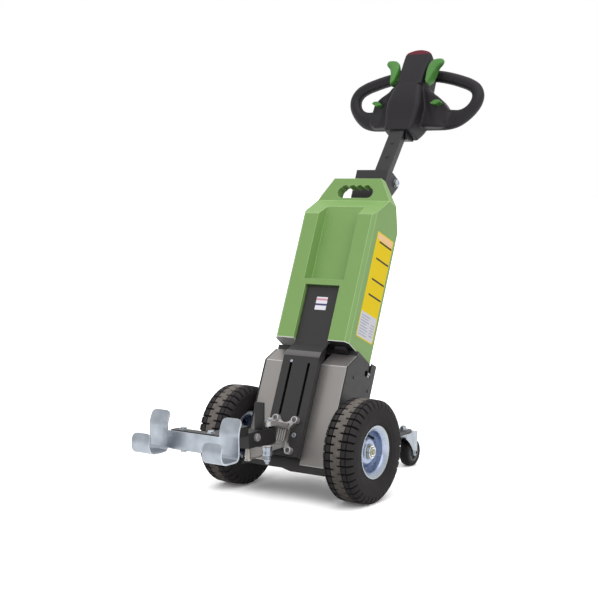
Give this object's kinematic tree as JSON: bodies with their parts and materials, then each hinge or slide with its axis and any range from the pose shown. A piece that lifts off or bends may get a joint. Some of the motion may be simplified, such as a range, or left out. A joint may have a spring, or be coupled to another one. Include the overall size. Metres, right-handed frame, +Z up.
{
  "type": "electric tow tractor",
  "caption": "Walk-behind electric tow tractor: leaning battery on a driven axle, rear casters, front hook gripper on a swinging drawbar and a tiller with a loop handle.",
  "frame": {"origin": "on the floor under the middle of the drive axle", "axes": "+Z up, -Y towards the gripper, +Y towards the operator, +X to the right seen from the gripper end"},
  "size_m": [0.468, 1.1602, 1.1685],
  "materials": {
    "black_paint": "satin black powder coat",
    "stainless": "brushed stainless sheet",
    "zinc": "bright zinc plate",
    "cast_metal": "cast, silver grey coated",
    "brass_fitting": "turned fitting",
    "green_moulding": "satin moulding",
    "black_moulding": "fine grained moulding",
    "red_moulding": "smooth moulding",
    "tyre_rubber": "black tyre rubber",
    "caster_rubber": "black rubber tread",
    "grey_moulding": "moulded caster centre"
  },
  "bodies": {
    "chassis": {"side_plate_left": "black_paint", "side_plate_right": "black_paint", "front_plate": "black_paint", "steel_cover_left": "stainless", "steel_cover_right": "stainless", "spine_channel": "black_paint", "base_pan": "black_paint", "rear_plate": "black_paint", "rear_frame": "black_paint", "transaxle": "black_paint", "mast": "black_paint", "tiller_pivot": "zinc", "battery_tray": "black_paint", "battery_socket": "black_moulding", "coupling_casting": "cast_metal", "coupling_pin": "zinc", "caster_bolt_left": "zinc", "caster_bolt_right": "zinc"},
    "battery": {"battery_case": "green_moulding"},
    "towing_gear": {"drawbar": "black_paint", "upright_plate": "black_paint", "latch_plunger": "brass_fitting", "gripper_plate": "zinc", "gripper_crossbar": "black_paint", "gripper_bolts": "zinc"},
    "tiller": {"tiller_tube": "black_paint", "tiller_collar": "black_moulding", "head_body": "black_moulding", "loop_handle": "black_moulding", "wing_left": "black_moulding", "wing_right": "black_moulding", "belly_button": "red_moulding", "thumb_lever_left": "green_moulding", "thumb_lever_right": "green_moulding", "wing_buttons": "green_moulding"},
    "wheel_left": {"tyre_left": "tyre_rubber", "rim_left": "zinc", "axle_shaft_left": "zinc"},
    "caster_fork_left": {"caster_fork_left": "zinc"},
    "caster_wheel_left": {"caster_tread_left": "caster_rubber", "caster_hub_left": "grey_moulding"},
    "wheel_right": {"tyre_right": "tyre_rubber", "rim_right": "zinc", "axle_shaft_right": "zinc"},
    "caster_fork_right": {"caster_fork_right": "zinc"},
    "caster_wheel_right": {"caster_tread_right": "caster_rubber", "caster_hub_right": "grey_moulding"}
  },
  "joints": [
    {"name": "drawbar_yaw", "type": "hinge", "parent": "chassis", "child": "towing_gear", "pos_m": [0, -0.14, 0.17], "axis": [0, 0, 1], "range_deg": [-30, 30]},
    {"name": "tiller_tilt", "type": "hinge", "parent": "chassis", "child": "tiller", "pos_m": [0, 0.3961, 0.7883], "axis": [1, 0, 0], "range_deg": [-20, 20]},
    {"name": "battery_lift", "type": "slide", "parent": "chassis", "child": "battery", "axis": [0, 0.3851, 0.9229], "range_m": [0, 0.2]},
    {"name": "wheel_left_spin", "type": "hinge", "parent": "chassis", "child": "wheel_left", "pos_m": [-0.1907, 0, 0.13], "axis": [1, 0, 0], "continuous": true},
    {"name": "caster_left_swivel", "type": "hinge", "parent": "chassis", "child": "caster_fork_left", "pos_m": [-0.082, 0.394, 0.095], "axis": [0, 0, 1], "continuous": true},
    {"name": "caster_left_roll", "type": "hinge", "parent": "caster_fork_left", "child": "caster_wheel_left", "pos_m": [-0.082, 0.432, 0.0384], "axis": [1, 0, 0], "continuous": true},
    {"name": "wheel_right_spin", "type": "hinge", "parent": "chassis", "child": "wheel_right", "pos_m": [0.1907, 0, 0.13], "axis": [1, 0, 0], "continuous": true},
    {"name": "caster_right_swivel", "type": "hinge", "parent": "chassis", "child": "caster_fork_right", "pos_m": [0.082, 0.394, 0.095], "axis": [0, 0, 1], "continuous": true},
    {"name": "caster_right_roll", "type": "hinge", "parent": "caster_fork_right", "child": "caster_wheel_right", "pos_m": [0.082, 0.432, 0.0384], "axis": [1, 0, 0], "continuous": true}
  ]
}
